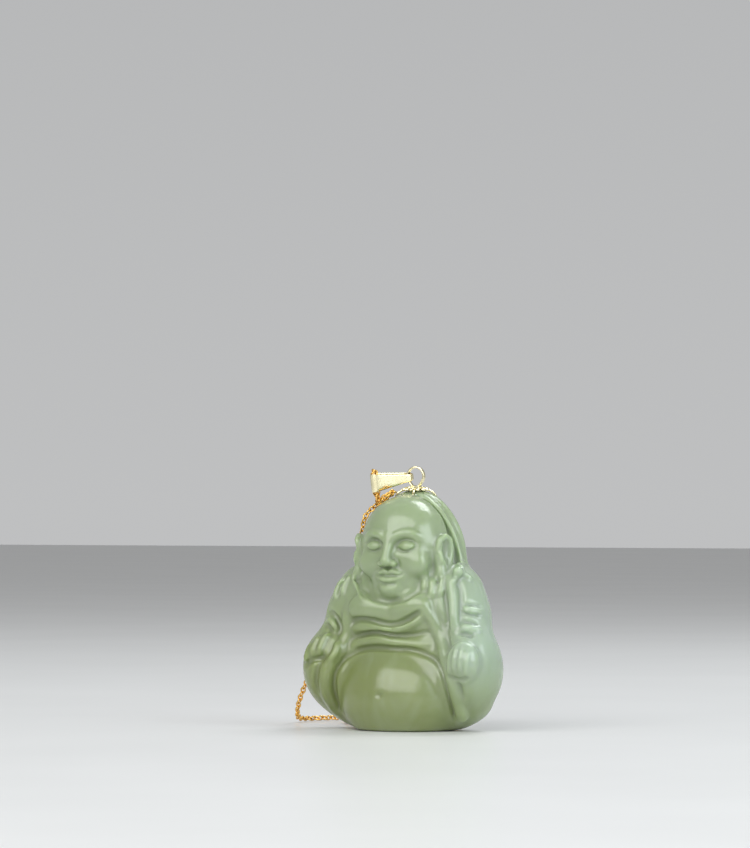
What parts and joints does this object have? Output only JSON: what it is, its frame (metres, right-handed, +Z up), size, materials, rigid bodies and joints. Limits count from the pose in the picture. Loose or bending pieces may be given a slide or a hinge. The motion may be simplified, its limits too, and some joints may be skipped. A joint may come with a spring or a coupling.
{
  "type": "carved jade pendant figurine",
  "caption": "Small carved stone figure of a seated full-bellied monk, capped in gold, with an eye, a swinging folded bail and a fine chain that closes with a spring-ring clasp.",
  "frame": {"origin": "middle of the flat base, on the surface the figure stands on", "axes": "+Z up, the figure faces -Y, +X is the figure's left"},
  "size_m": [0.0414, 0.032, 0.0396],
  "materials": {
    "jade": "greasy polish",
    "gold_cast": "polished yellow gold",
    "gold_sheet": "polished yellow gold sheet",
    "gold_chain": "polished yellow gold wire",
    "gold_clasp": "polished yellow gold tube",
    "spring_steel": "drawn wire"
  },
  "bodies": {
    "pendant": {"jade_figure": "jade", "flower_cap": "gold_cast", "eye_pin": "gold_cast", "chain_left_fall": "gold_chain", "chain_back_fall": "gold_chain", "chain_coil": "gold_chain", "chain_tail": "gold_chain", "clasp_body": "gold_clasp", "clasp_spring": "spring_steel", "clasp_jump_ring": "gold_clasp", "end_ring": "gold_clasp"},
    "bail": {"bail": "gold_sheet", "chain_in_bail": "gold_chain"},
    "clasp_gate": {"clasp_gate": "gold_clasp"}
  },
  "joints": [
    {"name": "bail_swing", "type": "hinge", "parent": "pendant", "child": "bail", "pos_m": [0, 0.004, 0.0381], "axis": [0, 1, 0], "range_deg": [0, 105], "deforming": ["chain_left_fall", "chain_back_fall"]},
    {"name": "clasp_gate_slide", "type": "hinge", "parent": "pendant", "child": "clasp_gate", "pos_m": [0.0008, 0.0132, 0.00115], "axis": [0, 0, 1], "range_deg": [0, 50], "stiffness_Nm_per_rad": 0.0002, "deforming": ["clasp_spring"]}
  ]
}
